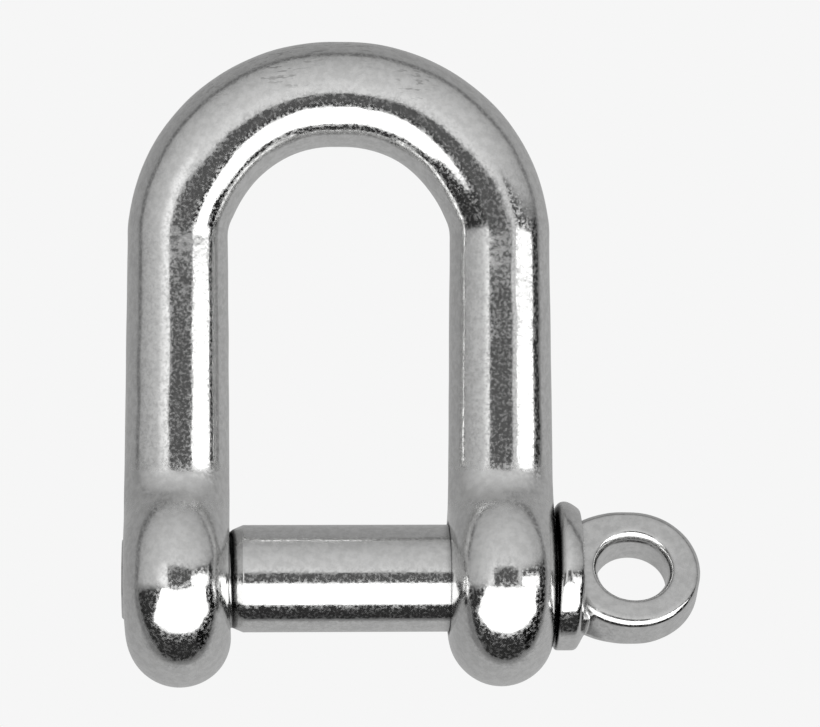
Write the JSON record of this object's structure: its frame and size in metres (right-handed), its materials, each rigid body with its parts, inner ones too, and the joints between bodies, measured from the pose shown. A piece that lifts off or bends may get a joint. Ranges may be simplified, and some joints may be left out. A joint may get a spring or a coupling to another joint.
{
  "type": "dee shackle",
  "caption": "Dee shackle: a D-shaped forged bow with two round-edged ears, closed by a right-hand screw pin with a collar and a flat eye.",
  "frame": {"origin": "on the screw pin's axis, midway between the two ears", "axes": "+X along the pin towards its eye, +Z towards the crown of the bow, +Y through the bow away from the viewer"},
  "size_m": [0.0538, 0.0202, 0.0602],
  "materials": {
    "bow_steel": "polished",
    "pin_steel": "polished"
  },
  "bodies": {
    "bow": {"shackle_body": "bow_steel"},
    "pin": {"pin_shank": "pin_steel"},
    "pin_ends": {"pin_eye": "pin_steel", "pin_thread": "pin_steel"}
  },
  "joints": [
    {"name": "pin_travel", "type": "slide", "parent": "bow", "child": "pin", "axis": [1, 0, 0], "range_m": [0, 0.042]},
    {"name": "pin_turn", "type": "hinge", "parent": "pin", "child": "pin_ends", "pos_m": [0, 0, 0], "axis": [1, 0, 0], "range_deg": [0, 10080]}
  ],
  "couplings": [
    {"joint": "pin_turn", "follows": "pin_travel", "rad_per_m": 4188.8}
  ]
}
